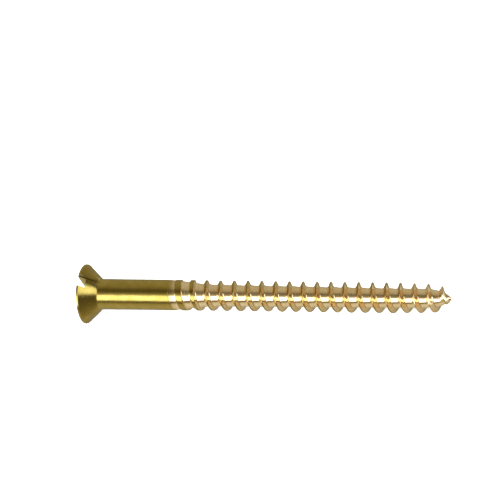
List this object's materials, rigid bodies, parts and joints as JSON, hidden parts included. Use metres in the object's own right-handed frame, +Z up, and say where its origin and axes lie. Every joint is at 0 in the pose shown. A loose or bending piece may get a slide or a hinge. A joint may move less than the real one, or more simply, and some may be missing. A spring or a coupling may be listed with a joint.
{
  "type": "slotted countersunk wood screw",
  "caption": "Slotted countersunk brass wood screw: flat-topped cone head, plain shank, right-hand thread on a tapering core and a gimlet point.",
  "frame": {"origin": "centre of the head's flat top, on the screw's axis", "axes": "+X along the screw's axis from the head to the tip; the driver slot stands upright along Z; +Z is up with the screw lying on its side"},
  "size_m": [0.05, 0.0078, 0.0078],
  "materials": {
    "brass_satin": "satin",
    "brass_bright": "polished"
  },
  "bodies": {
    "root": {"head": "brass_satin", "shank": "brass_satin", "thread": "brass_bright", "point": "brass_bright"}
  },
  "joints": []
}
